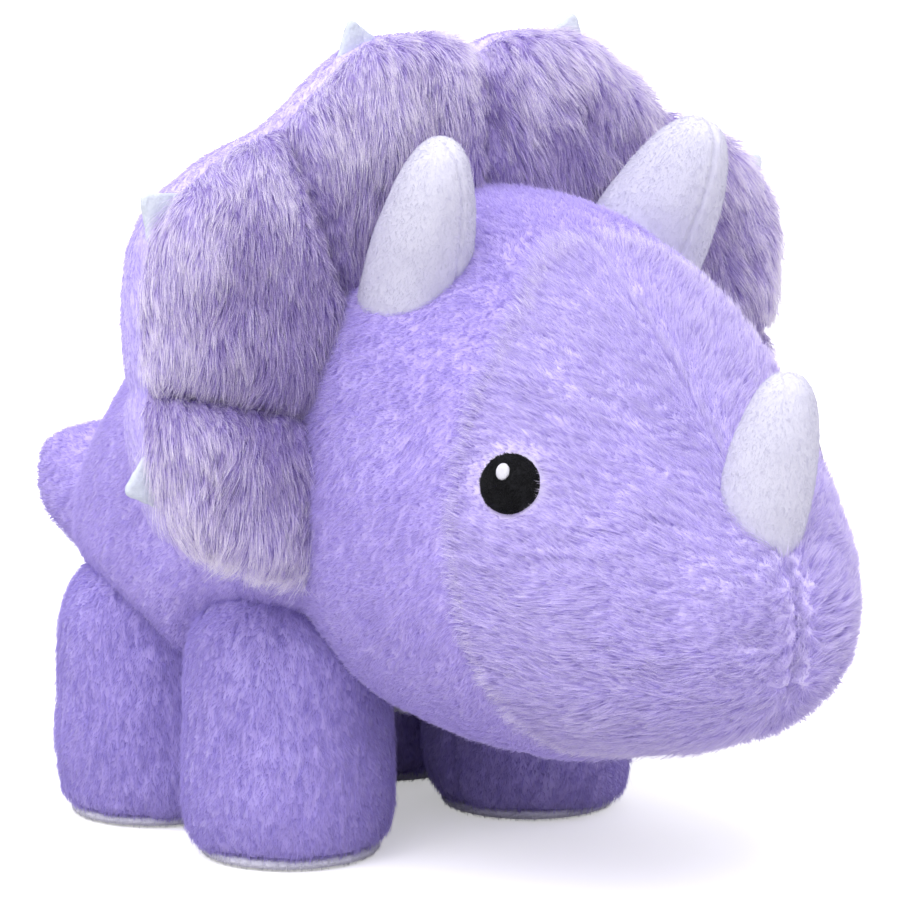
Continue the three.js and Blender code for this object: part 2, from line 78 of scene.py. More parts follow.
LEGS = {"front_left": (58, 22), "front_right": (-58, 22), "rear_left": (56, 106), "rear_right": (-56, 106)}
MASK_EDGE = np.array([[-109, 30], [-106, 80], [-101, 108], [-96.5, 141], [-95.5, 165], [-93.5, 190], [-88, 206],
                      [-79, 221], [-71, 232], [-58, 260]], float)
BROW = {"base": (52, -32, 199), "tip": (64, -67, 265),
        "rings": [[-0.07, 0], [-0.05, 11], [0, 20.5], [0.25, 20.4], [0.45, 19.2], [0.65, 17], [0.82, 13.6], [0.93, 9.6], [0.985, 5.2], [1, 0]]}
NOSE = {"base": (0, -157, 129), "tip": (0, -174, 190),
        "rings": [[-0.12, 0], [-0.09, 9], [0, 15], [0.25, 15.4], [0.45, 15], [0.65, 13.6], [0.82, 11], [0.93, 7.9], [0.985, 4.3], [1, 0]]}
EYE_R = 10.2
BELLY_Z = 62.0
FRILL_EDGE = np.array([[0, 289.5], [10, 293.5], [21, 295.8], [33, 296], [46, 294.3], [58, 289], [70, 280],
                       [80.5, 271.5], [89.5, 265.5], [101, 261.5], [113.5, 256.5], [126, 249.5], [135.5, 242.5], [142, 234],
                       [145.5, 225], [147.3, 213], [147.3, 200], [146.3, 187], [144.5, 180], [146.5, 172], [145.5, 160],
                       [143, 148], [139, 137], [133, 128], [118, 120], [102, 114], [84, 110], [70, 108.5]], float)


# ------------------------------------------------------------------ noise
def _cell(ix, iy, iz, seed):
    h = (ix * 374761393 + iy * 668265263 + iz * 1440662683 + seed * 974634777) & 0xFFFFFFFF
    h = ((h ^ (h >> 13)) * 1274126177) & 0xFFFFFFFF
    h = ((h ^ (h >> 15)) * 2246822519) & 0xFFFFFFFF
    return ((h ^ (h >> 16)) & 0xFFFFFF) / float(0xFFFFFF) * 2 - 1


def noise(p, scale, seed=0):
    """Smooth value noise in -1..1, with features about scale mm across."""
    q = np.asarray(p, float) / scale
    i = np.floor(q).astype(np.int64)
    f = q - i
    f = f * f * f * (f * (f * 6 - 15) + 10)
    out = 0
    for dx in (0, 1):
        wx = f[:, 0] if dx else 1 - f[:, 0]
        for dy in (0, 1):
            wy = f[:, 1] if dy else 1 - f[:, 1]
            for dz in (0, 1):
                wz = f[:, 2] if dz else 1 - f[:, 2]
                out = out + _cell(i[:, 0] + dx, i[:, 1] + dy, i[:, 2] + dz, seed) * wx * wy * wz
    return out


def noise_vec(p, scale, seed):
    return np.stack([noise(p, scale, seed + k) for k in range(3)], 1)


def unit(v):
    return v / np.maximum(np.linalg.norm(v, axis=-1, keepdims=True), 1e-9)


# ------------------------------------------------------------------ surfaces
def cube_sphere(n):
    """Unit directions and outward quads of a cube blown up to a ball: no poles."""
    a = np.tan(np.linspace(-1, 1, n + 1) * math.pi / 4)
    u, v = np.meshgrid(a, a, indexing="ij")
    o = np.ones_like(u)
    sides = [(o, u, v), (-o, v, u), (v, o, u), (u, -o, v), (u, v, o), (v, u, -o)]
    pts, quads = [], []
    idx = np.arange((n + 1) ** 2).reshape(n + 1, n + 1)
    for k, s in enumerate(sides):
        pts.append(np.stack(s, -1).reshape(-1, 3))
        q = np.stack([idx[:-1, :-1], idx[1:, :-1], idx[1:, 1:], idx[:-1, 1:]], -1).reshape(-1, 4)
        quads.append(q + k * (n + 1) ** 2)
    p, q = np.concatenate(pts), np.concatenate(quads)
    key = np.round(p * 1e6).astype(np.int64)
    _, first, back = np.unique(key, axis=0, return_index=True, return_inverse=True)
    return unit(p[first]), back.reshape(-1)[q]


def ring_at(rings, t):
    r = np.array(rings, float)
    sign = np.array([1, 1, -1, -1, -1, 1, 1.0])
    if r.shape[1] == 2:
        sign = np.array([1, -1.0])
    full = np.concatenate([r[1:2] * sign, r, r[-2:-1] * sign])
    last = len(r) - 1
    f = np.clip(t, 0, 1) * last
    i = np.minimum(np.floor(f).astype(int), last - 1)
    u = (f - i)[:, None]
    p0, p1, p2, p3 = full[i], full[i + 1], full[i + 2], full[i + 3]
    return 0.5 * (2 * p1 + (p2 - p0) * u + (2 * p0 - 5 * p1 + 4 * p2 - p3) * u * u + (3 * p1 - p0 - 3 * p2 + p3) * u ** 3)


def lofted(d, rings, grow=0.0):
    """Points of a soft body for unit directions d, with its length along Y."""
    t = 1 - np.arccos(np.clip(d[:, 1], -1, 1)) / math.pi
    r = ring_at(rings, t)
    ang = np.arctan2(d[:, 2], d[:, 0])
    c, s = np.cos(ang), np.sin(ang)
    e = 2 / r[:, 6]
    k = np.clip(np.hypot(d[:, 0], d[:, 2]) * 6, 0, 1)
    a = np.maximum(r[:, 2], 0) + grow * k
    b = np.maximum(np.where(s > 0, r[:, 3], r[:, 4]), 0) + grow * k
    y0, y1 = rings[0][0], rings[-1][0]
    mid = (y0 + y1) / 2
    y = mid + (r[:, 0] - mid) * (1 + 2 * grow / (y1 - y0))
    return np.stack([r[:, 5] + a * np.sign(c) * np.abs(c) ** e, y, r[:, 1] + b * np.sign(s) * np.abs(s) ** e], 1)


def normals(V, F):
    n = np.zeros_like(V)
    fn = np.cross(V[F[:, 2]] - V[F[:, 0]], V[F[:, 3]] - V[F[:, 1]]) if F.shape[1] == 4 else np.cross(V[F[:, 1]] - V[F[:, 0]], V[F[:, 2]] - V[F[:, 0]])
    for k in range(F.shape[1]):
        np.add.at(n, F[:, k], fn)
    return unit(n)


def outward(V, F):
    """Turns the faces round if the closed surface is inside out."""
    c = V.mean(0)
    a, b, d = V[F[:, 0]] - c, V[F[:, 1]] - c, V[F[:, 2]] - c
    return F if np.einsum("ij,ij->i", a, np.cross(b, d)).sum() > 0 else F[:, ::-1]


def mesh_object(name, V, F, material, smooth=True):
    me = bpy.data.meshes.new(name)
    me.from_pydata(metres(V).tolist(), [], F.tolist() if hasattr(F, "tolist") else F)
    me.update()
    if smooth:
        me.polygons.foreach_set("use_smooth", np.ones(len(me.polygons), bool))
    me.materials.append(material)
    o = bpy.data.objects.new(name, me)
    scene.collection.objects.link(o)
    return o


def shell(name, V, N, F, keep, thick, material):
    """The kept faces as a thin closed piece of fabric: outer side, inner side and the cut edge between."""
    F = F[keep]
    used, inv = np.unique(F, return_inverse=True)
    F = inv.reshape(F.shape)
    V, N = V[used], N[used]
    n = len(V)
    e = np.concatenate([F[:, [k, (k + 1) % 4]] for k in range(4)])
    code = e[:, 0] * (n + 1) + e[:, 1]
    twin = e[:, 1] * (n + 1) + e[:, 0]
    edge = e[~np.isin(code, twin)]
    faces = np.concatenate([F, F[:, ::-1] + n, np.stack([edge[:, 1], edge[:, 0], edge[:, 0] + n, edge[:, 1] + n], 1)])
    return mesh_object(name, np.concatenate([V, V - N * thick]), faces, material)


# ------------------------------------------------------------------ materials
def new_material(name):
    m = bpy.data.materials.new(name)
    m.use_nodes = True
    nt = m.node_tree
    return m, nt, nt.nodes["Principled BSDF"]


def node(nt, kind, **values):
    n = nt.nodes.new(kind)
    for k, v in values.items():
        if hasattr(n, k):
            setattr(n, k, v)
        else:
            n.inputs[k].default_value = v
    return n


def mapped(nt, scale, rotation=(0, 0, 0)):
    tc = nt.nodes.new("ShaderNodeTexCoord")
    mp = nt.nodes.new("ShaderNodeMapping")
    mp.inputs["Scale"].default_value = scale
    mp.inputs["Rotation"].default_value = rotation
    nt.links.new(tc.outputs["Object"], mp.inputs["Vector"])
    return mp.outputs["Vector"]


def ramp(nt, fac, stops):
    r = nt.nodes.new("ShaderNodeValToRGB")
    while len(r.color_ramp.elements) < len(stops):
        r.color_ramp.elements.new(0.5)
    for e, (pos, col) in zip(r.color_ramp.elements, stops):
        e.position = pos
        e.color = (*col, 1)
    nt.links.new(fac, r.inputs["Fac"])
    return r.outputs["Color"]


def plush(name, dark, mid, light, strand=(500, 500, 130), patch=22, bump=0.6, depth=0.0012, sheen=0.5):
    """Backing and pile of plush: streaks of fibre, patches where the pile lies another way, and fine relief."""
    m, nt, b = new_material(name)
    vec = mapped(nt, strand)
    fine = node(nt, "ShaderNodeTexNoise", Scale=1.0, Detail=4.0, Roughness=0.65, Distortion=0.6)
    nt.links.new(vec, fine.inputs["Vector"])
    pvec = mapped(nt, (patch,) * 3)
    broad = node(nt, "ShaderNodeTexNoise", Scale=1.0, Detail=3.0, Roughness=0.55, Distortion=1.2)
    nt.links.new(pvec, broad.inputs["Vector"])
    mix = node(nt, "ShaderNodeMath", operation="MULTIPLY_ADD")
    nt.links.new(fine.outputs["Fac"], mix.inputs[0])
    mix.inputs[1].default_value = 0.65
    sub = node(nt, "ShaderNodeMath", operation="MULTIPLY_ADD")
    nt.links.new(broad.outputs["Fac"], sub.inputs[0])
    sub.inputs[1].default_value = 0.9
    sub.inputs[2].default_value = -0.28
    nt.links.new(sub.outputs[0], mix.inputs[2])
    col = ramp(nt, mix.outputs[0], [(0.22, dark), (0.5, mid), (0.78, light)])
    nt.links.new(col, b.inputs["Base Color"])
    bm = node(nt, "ShaderNodeBump", Strength=bump, Distance=depth)
    nt.links.new(fine.outputs["Fac"], bm.inputs["Height"])
    nt.links.new(bm.outputs["Normal"], b.inputs["Normal"])
    b.inputs["Roughness"].default_value = 0.92
    b.inputs["Specular IOR Level"].default_value = 0.15
    b.inputs["Sheen Weight"].default_value = sheen
    b.inputs["Sheen Roughness"].default_value = 0.45
    b.inputs["Sheen Tint"].default_value = (0.86, 0.82, 1.0, 1)
    return m


def strand_material(name, stops, vary=0.10, translucent=0.35):
    """Fibre colour runs from root to tip, a little different from fibre to fibre."""
    m, nt, b = new_material(name)
    info = nt.nodes.new("ShaderNodeHairInfo")
    col = ramp(nt, info.outputs["Intercept"], stops)
    hsv = nt.nodes.new("ShaderNodeHueSaturation")
    nt.links.new(col, hsv.inputs["Color"])
    val = node(nt, "ShaderNodeMapRange")
    nt.links.new(info.outputs["Random"], val.inputs["Value"])
    val.inputs["To Min"].default_value = 1 - vary
    val.inputs["To Max"].default_value = 1 + vary
    nt.links.new(val.outputs["Result"], hsv.inputs["Value"])
    nt.links.new(hsv.outputs["Color"], b.inputs["Base Color"])
    b.inputs["Roughness"].default_value = 0.6
    b.inputs["Specular IOR Level"].default_value = 0.25
    tr = nt.nodes.new("ShaderNodeBsdfTranslucent")
    nt.links.new(hsv.outputs["Color"], tr.inputs["Color"])
    mx = nt.nodes.new("ShaderNodeMixShader")
    mx.inputs["Fac"].default_value = translucent
    nt.links.new(b.outputs["BSDF"], mx.inputs[1])
    nt.links.new(tr.outputs["BSDF"], mx.inputs[2])
    nt.links.new(mx.outputs["Shader"], nt.nodes["Material Output"].inputs["Surface"])
    return m


LILAC_D, LILAC, LILAC_L = (0.39, 0.31, 0.67), (0.52, 0.43, 0.81), (0.62, 0.54, 0.91)
M = {
    "short": plush("short_plush", LILAC_D, LILAC, LILAC_L),
    # legs: the torso's purple plush made darker, as painted shade on the low legs
    "leg": plush("leg_plush_painted_shade", (0.31, 0.25, 0.58), (0.43, 0.35, 0.74), (0.52, 0.45, 0.84)),
    "face": plush("face_plush", (0.54, 0.46, 0.80), (0.66, 0.58, 0.90), (0.77, 0.71, 0.96), strand=(420, 260, 260)),
    "frill": plush("frill_plush", (0.36, 0.27, 0.62), (0.52, 0.43, 0.78), (0.76, 0.69, 0.92), strand=(420, 420, 110), patch=45, depth=0.002),
    "rim": plush("rim_plush", (0.54, 0.46, 0.85), (0.65, 0.57, 0.92), (0.76, 0.70, 0.97)),
    "grey": plush("grey_plush", (0.56, 0.55, 0.66), (0.68, 0.67, 0.77), (0.78, 0.77, 0.85)),
    "horn": plush("horn_velboa", (0.60, 0.59, 0.72), (0.65, 0.64, 0.76), (0.70, 0.69, 0.80), strand=(1500, 1500, 1500), patch=30, bump=0.35, depth=0.0004, sheen=0.3),
    "felt": plush("felt", (0.54, 0.58, 0.68), (0.62, 0.66, 0.76), (0.71, 0.74, 0.83), strand=(900, 900, 900), patch=120, bump=0.7, depth=0.0006, sheen=0.3),
    "eye": plush("eye_plush", (0.003, 0.003, 0.004), (0.008, 0.008, 0.010), (0.018, 0.018, 0.022), strand=(900, 900, 900), patch=90, bump=0.8, depth=0.0008, sheen=0.03),
    "thread": plush("eye_thread", (0.52, 0.51, 0.58), (0.64, 0.63, 0.70), (0.74, 0.73, 0.80), strand=(2600, 300, 300), patch=200, bump=0.7, depth=0.0004, sheen=0.2),
    "fill": plush("wadding", (0.72, 0.71, 0.68), (0.84, 0.83, 0.80), (0.93, 0.93, 0.91), strand=(300, 300, 300), patch=60, bump=0.9, depth=0.002),
}
S = {
    "short": strand_material("short_pile", [(0.0, (0.42, 0.34, 0.71)), (0.55, (0.58, 0.49, 0.89)), (1.0, (0.72, 0.64, 0.97))], vary=0.06),
    # legs: the torso's purple fibres made darker, as painted shade on the low legs
    "leg": strand_material("leg_pile_painted_shade", [(0.0, (0.34, 0.28, 0.62)), (0.55, (0.47, 0.39, 0.80)), (1.0, (0.58, 0.50, 0.90))], vary=0.05),
    "face": strand_material("face_pile", [(0.0, (0.47, 0.39, 0.76)), (0.5, (0.68, 0.60, 0.92)), (1.0, (0.90, 0.85, 0.99))], vary=0.09),
    "frill": strand_material("frill_pile", [(0.0, (0.28, 0.20, 0.55)), (0.45, (0.42, 0.33, 0.68)), (0.8, (0.64, 0.55, 0.80)), (1.0, (0.90, 0.84, 0.93))], vary=0.12),
    "frost": strand_material("frost_pile", [(0.0, (0.44, 0.35, 0.73)), (0.3, (0.70, 0.61, 0.93)), (0.6, (0.93, 0.88, 0.99)), (1.0, (1.0, 0.98, 1.0))], vary=0.06),
    "rim": strand_material("rim_pile", [(0.0, (0.54, 0.46, 0.84)), (0.6, (0.70, 0.62, 0.95)), (1.0, (0.82, 0.76, 0.99))], vary=0.06),
    "grey": strand_material("grey_pile", [(0.0, (0.60, 0.59, 0.68)), (1.0, (0.86, 0.85, 0.91))]),
    "eye": strand_material("eye_pile", [(0.0, (0.004, 0.004, 0.005)), (1.0, (0.014, 0.014, 0.017))], translucent=0.0),
    "horn": strand_material("horn_pile", [(0.0, (0.63, 0.62, 0.74)), (1.0, (0.71, 0.70, 0.81))], vary=0.02),
}


# ------------------------------------------------------------------ pile
STRANDS = [0]


def pile(name, V, N, F, per_cm2, length, comb, body, material, seed, lift=0.45, radius=0.12, clump=2.5, gather=0.35,
         keep=None, points=5, wander=0.35, wander_scale=16.0, ragged=0.22):
    """Grows fibres from the faces F of a surface. comb(root, normal) is the way the pile is brushed."""
    rng = np.random.default_rng(seed)
    T = np.concatenate([F[:, [0, 1, 2]], F[:, [0, 2, 3]]]) if F.shape[1] == 4 else F
    area = np.linalg.norm(np.cross(V[T[:, 1]] - V[T[:, 0]], V[T[:, 2]] - V[T[:, 0]]), axis=1) / 2
    count = int(area.sum() / 100 * per_cm2 * DENSITY)
    if count < 10:
        return None
    pick = np.searchsorted(np.cumsum(area) / area.sum(), rng.random(count)).clip(0, len(T) - 1)
    a, b = rng.random(count), rng.random(count)
    flip = a + b > 1
    a[flip], b[flip] = 1 - a[flip], 1 - b[flip]
    w = np.stack([1 - a - b, a, b], 1)[:, :, None]
    root = (V[T[pick]] * w).sum(1)
    nrm = unit((N[T[pick]] * w).sum(1))
    if keep is not None:
        ok = rng.random(count) < keep(root)
        root, nrm = root[ok], nrm[ok]
        count = len(root)
    size = (length(root) if callable(length) else np.full(count, float(length))) * (1 + ragged * rng.standard_normal(count)).clip(0.45, 1.6)
    c = comb(root, nrm) + wander * noise_vec(root, wander_scale, seed + 11) + 0.5 * wander * noise_vec(root, wander_scale / 3, seed + 17)
    c = unit(c - nrm * (c * nrm).sum(1, keepdims=True))
    up = lift * (1 + 0.25 * noise(root, wander_scale, seed + 23))
    up = np.clip(up, 0.12, 0.95)[:, None]
    stray = 0.14 * rng.standard_normal((count, 3))
    t = np.linspace(0, 1, points)[None, :, None]
    L = size[:, None, None]
    line = L * (nrm[:, None] * up[:, None] * (t - 0.28 * t * t) * 1.25 + (c[:, None] * (1 - up[:, None] ** 2) ** 0.5) * (0.45 * t + 0.55 * t * t) + stray[:, None] * t)
    path = root[:, None] + line
    if gather > 0:
        q = np.floor((root + 0.6 * noise_vec(root, clump * 2.2, seed + 31) * clump) / clump).astype(np.int64)
        key = (q[:, 0] * 73856093) ^ (q[:, 1] * 19349663) ^ (q[:, 2] * 83492791)
        _, cid = np.unique(key, return_inverse=True)
        cid = cid.reshape(-1)
        num = np.bincount(cid).astype(float)
        mean = np.zeros((len(num), points, 3))
        for k in range(points):
            for x in range(3):
                mean[:, k, x] = np.bincount(cid, path[:, k, x]) / num
        pull = (gather * (0.5 + rng.random(len(num))))[cid][:, None, None] * t ** 1.6
        path = path + (mean[cid] - path) * np.clip(pull, 0, 0.9)
    hc = bpy.data.hair_curves.new(name)
    hc.add_curves([points] * count)
    hc.attributes["position"].data.foreach_set("vector", metres(path).astype(np.float32).reshape(-1))
    rad = hc.attributes.get("radius") or hc.attributes.new("radius", "FLOAT", "POINT")
    thick = np.linspace(1, 0.12, points)[None, :] ** 0.8 * radius / 1000 / max(DENSITY, 0.3) ** 0.5
    rad.data.foreach_set("value", np.broadcast_to(thick, (count, points)).astype(np.float32).reshape(-1))
    hc.materials.append(material)
    o = bpy.data.objects.new(name, hc)
    scene.collection.objects.link(o)
    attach(o, body)
    STRANDS[0] += count
    return o


def down(x=0.0, y=0.0, z=-1.0):
    d = np.array([x, y, z], float)
    return lambda p, n: np.broadcast_to(d, p.shape)


def tufts(V, N, way, amount, across, along, seed):
    """Relief of brushed pile: ridges that run the way the pile lies."""
    c = way - N * (way * N).sum(1, keepdims=True)
    c = unit(c + 0.25 * noise_vec(V, 14, seed + 5))
    k = np.linspace(-along / 2, along / 2, 5)
    s = sum(noise(V + c * d, across, seed) for d in k) / len(k)
    s = s + 0.5 * sum(noise(V + c * d * 0.5, across * 0.5, seed + 1) for d in k) / len(k)
    return V + N * (amount * 1.7 * s)[:, None]


def groove(d, width, depth):
    return -depth * np.exp(-((d / width) ** 2))


# ------------------------------------------------------------------ placing pieces
def dress(o, body, nodes):
    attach(o, body)
    if nodes:
        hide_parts(*nodes)
    return o


def filling(name, V, F, body, nodes, seed):
    """Stuffing inside a piece: a lumpy soft body, hidden by the fabric."""
    N = normals(V, F)
    V = V + N * (0.8 * noise(V, 18, seed) - 0.6)[:, None]
    return dress(mesh_object(name, V, F, M["fill"]), body, nodes)


def centre(V, F):
    return V[F].mean(1)


def leg_distance(P, names=LEGS):
    best = np.full(len(P), 1e9)
    for n in names:
        x, y = LEGS[n]
        axis = np.stack([np.full(len(P), x), np.full(len(P), y), np.clip(P[:, 2], 0, 68)], 1)
        best = np.minimum(best, np.linalg.norm(P - axis, axis=1) - 38.6)
    return best


N_BIG = 118
N_MID = 64
N_FILL = 18

# ------------------------------------------------------------------ torso
D, Q = cube_sphere(N_BIG)
V = lofted(D, BODY_RINGS, -1.6)
Q = outward(V, Q)
N = normals(V, Q)
V = V + N * (1.6 * noise(V, 55, 3) + 0.8 * noise(V, 24, 4))[:, None]
leg_d = leg_distance(V)
belly_line = BELLY_Z + 2.5 * noise(V * [0, 1, 0] + [7, 0, 3], 30, 6) + 24 * np.clip((6 - V[:, 1]) / 22, 0, 1) ** 1.5
V = V + N * groove(leg_d, 6.0, 3.2)[:, None]
V = V + N * (groove(V[:, 0], 2.0, 1.8) * (V[:, 2] > 100))[:, None]
V = V + N * groove(V[:, 2] - belly_line, 2.4, 1.6)[:, None]
V = V + N * (0.5 * np.sin(V[:, 1] / 1.9) * np.exp(-(V[:, 0] / 7.0) ** 2) * (V[:, 2] > 100))[:, None]
N = normals(V, Q)
body_comb = lambda p, n: np.stack([0 * p[:, 0], 0.75 + 0 * p[:, 0], -0.75 + 0 * p[:, 0]], 1)
Vt = tufts(V, N, body_comb(V, N), 0.55, 2.6, 7.0, 20)
Nt = normals(Vt, Q)
C = centre(V, Q)
open_to_air = (leg_distance(C) > -7) & (C[:, 1] > -26)
above = C[:, 2] > belly_line[Q].mean(1)
for side, mine in (("left", C[:, 0] > 0), ("right", C[:, 0] <= 0)):
    o = shell(f"body_{side}_plush", Vt, Nt, Q, open_to_air & above & mine, 2.6, M["short"])
    dress(o, "torso", [f"body_{side}_panel"])
o = shell("belly_plush", Vt, Nt, Q, open_to_air & ~above, 2.6, M["grey"])
dress(o, "torso", ["belly_panel"])
hairy = (leg_distance(C) > -1.0) & (C[:, 1] > -14)
SHORT = dict(lift=0.5, radius=0.085, clump=1.5, gather=0.3, points=4)
pile("torso_pile", Vt, Nt, Q[hairy & above], 165, 2.9, body_comb, "torso", S["short"], 101, **SHORT)
pile("belly_pile", Vt, Nt, Q[hairy & ~above], 140, 2.7, body_comb, "torso", S["grey"], 102, **SHORT)

d, q = cube_sphere(N_FILL)
v = lofted(d, BODY_RINGS, -5.5)
q = outward(v, q)
r = v - np.array([0, 20, 135.0])
far = np.linalg.norm(r, axis=1)
front = (-r[:, 1] / np.maximum(far, 1e-6)) > 0.42
v[front] = np.array([0, 20, 135.0]) + r[front] * (np.minimum(far[front], 78.5) / far[front])[:, None]
filling("torso_filling", v, q, "torso", ["body_stuffing"], 30)
v = np.array([0, 20, 135.0]) + 86.5 * d
keep = (-(d[q].mean(1))[:, 1]) > 0.74
o = shell("neck_filling", v, d, q, keep, 5.0, M["fill"])
dress(o, "neck", ["neck_stuffing"])

# ------------------------------------------------------------------ head
D, Q = cube_sphere(N_BIG)
V = lofted(D, HEAD_RINGS, -1.6)
Q = outward(V, Q)
N = normals(V, Q)
V = V + N * (1.4 * noise(V, 50, 8) * (0.4 + 0.6 * (V[:, 1] > -90)) + 0.7 * noise(V, 22, 9))[:, None]


def mask_y(z):
    return np.interp(z, MASK_EDGE[:, 1], MASK_EDGE[:, 0])


def mask_depth(P):
    """How far P lies in front of the edge of the face mask, which is frayed."""
    return mask_y(P[:, 2]) - P[:, 1]


md = mask_depth(V)
front = md > 0
V = V - N * (2.0 / (1 + np.exp(-np.clip(md / 2.2, -30, 30))))[:, None]
V = V + N * groove(md + 2.0, 3.0, 1.3)[:, None]
seam = np.exp(-(V[:, 0] / 2.6) ** 2) * front
V = V - N * (2.4 * seam)[:, None]
pucker = np.exp(-(V[:, 0] / 9.0) ** 2) * front * (V[:, 2] < 128)
V = V + N * (0.55 * np.sin(V[:, 2] / 1.35 + 0.25 * np.abs(V[:, 0])) * pucker)[:, None]
N = normals(V, Q)


def head_comb(p, n):
    s = np.sign(p[:, 0] + 1e-6) * np.clip(np.abs(p[:, 0]) / 12, 0.25, 1)
    on_mask = mask_depth(p) > 0
    x = np.where(on_mask, 0.85 * s, 0.1 * s)
    y = np.where(on_mask, 0.8, 0.7)
    z = np.where(on_mask, 0.25 + 0.004 * (p[:, 2] - 110), -0.55)
    return np.stack([x, y, z], 1)


way = head_comb(V, N)
long_pile = tufts(V, N, way, 0.7, 3.0, 10.0, 40)
short_pile = tufts(V, N, way, 0.5, 2.6, 7.0, 41)
w = (1 / (1 + np.exp(-np.clip(md / 1.5, -30, 30))))[:, None]
Vt = long_pile * w + short_pile * (1 - w)
Nt = normals(Vt, Q)
C = centre(V, Q)
mdc = mask_depth(C)
shown = C[:, 1] < 9
for side, mine in (("left", C[:, 0] > 0), ("right", C[:, 0] <= 0)):
    o = shell(f"face_{side}_plush", Vt, Nt, Q, shown & mine & (mdc > 0), 2.6, M["face"])
    dress(o, "head", [f"face_{side}_panel"])
    o = shell(f"cheek_{side}_plush", Vt, Nt, Q, shown & mine & (mdc <= 0), 2.6, M["short"])
    dress(o, "head", [f"head_{side}_cheek"])

from mathutils.bvhtree import BVHTree
head_tree = BVHTree.FromPolygons(V.tolist(), Q.tolist())

# the eye lies where this line of sight meets the face
EYE_LINE = (Vector((-913.00, -1072.81, 352.10)), Vector((0.64119, 0.75342, -0.14571)))
side_dir = EYE_LINE[1].cross(Vector((0, 0, 1))).normalized()
up_dir = side_dir.cross(EYE_LINE[1]).normalized()
to_eye = (EYE_LINE[1] * 3900 + side_dir * (510 - 450) + up_dir * (450 - 484)).normalized()
EYE_AT, EYE_N, _, _ = head_tree.ray_cast(EYE_LINE[0], to_eye)
EYES = {"right": (np.array(EYE_AT), np.array(EYE_N)),
        "left": (np.array(EYE_AT) * [-1, 1, 1], np.array(EYE_N) * [-1, 1, 1])}


def horn_frame(spec):
    base, tip = np.array(spec["base"], float), np.array(spec["tip"], float)
    axis = (tip - base) / np.linalg.norm(tip - base)
    x = unit(np.cross(np.array([0, -1.0, 0]), axis))
    z = np.cross(x, axis)
    return base, np.stack([x, axis, z], 1), np.linalg.norm(tip - base)


HORNS = {"brow_horn_left": BROW, "brow_horn_right": {"base": (-49.5, -34.5, 197), "tip": (-61.5, -69.5, 263), "rings": BROW["rings"]}, "nose_horn": NOSE}


def clear_of(p, inner=0.0):
    """1 where pile may grow on the head: not under an eye or a horn."""
    ok = np.ones(len(p))
    for at, n in EYES.values():
        ok *= np.linalg.norm(p - at - [0, -0.8, 0], axis=1) > EYE_R + 1.1
    for spec in HORNS.values():
        base, R, L = horn_frame(spec)
        q = (p - base) @ R
        ok *= (np.hypot(q[:, 0], q[:, 2]) > spec["rings"][2][1] - 2.0 + inner) | (np.abs(q[:, 1]) > 40)
    return ok


def face_length(p):
    d = np.minimum(*[np.linalg.norm(p - at, axis=1) for at, n in EYES.values()])
    return (5.7 + 1.1 * noise(p, 14, 51)) * np.clip((d - EYE_R + 1.5) / 9, 0.22, 1)


def grown(lo, hi, scale, seed):
    return lambda p: lo + (hi - lo) * (0.5 + 0.5 * noise(p, scale, seed))


onface = shown & (mdc > -1.0)
oncheek = shown & (mdc <= 0) & (C[:, 1] < 2)
pile("face_pile", Vt, Nt, Q[onface], 230, face_length, head_comb, "head", S["face"], 103,
     lift=0.42, radius=0.08, clump=1.8, gather=0.3, keep=clear_of, wander=0.5, wander_scale=13)
edge = shown & (mdc > 0.2) & (mdc < 3.6) & (C[:, 2] > 42)
pile("mask_edge_pile", Vt, Nt, Q[edge], 150, 4.6, lambda p, n: np.broadcast_to(np.array([0, 1.0, 0.15]), p.shape), "head", S["frost"], 107,
     lift=0.6, radius=0.07, clump=1.6, gather=0.25, keep=clear_of, wander=0.4, wander_scale=10)
pile("cheek_pile", Vt, Nt, Q[oncheek], 170, 2.9, head_comb, "head", S["short"], 104, keep=clear_of, **SHORT)

d, q = cube_sphere(N_FILL)
v = lofted(d, HEAD_RINGS, -6.5)
q = outward(v, q)
r = np.hypot(v[:, 0], v[:, 2] - 135)
v[:, 1] = np.minimum(v[:, 1], 20 - np.sqrt(93.5 ** 2 - np.minimum(r, 92) ** 2))
filling("head_filling", v, q, "head", ["head_stuffing"], 31)

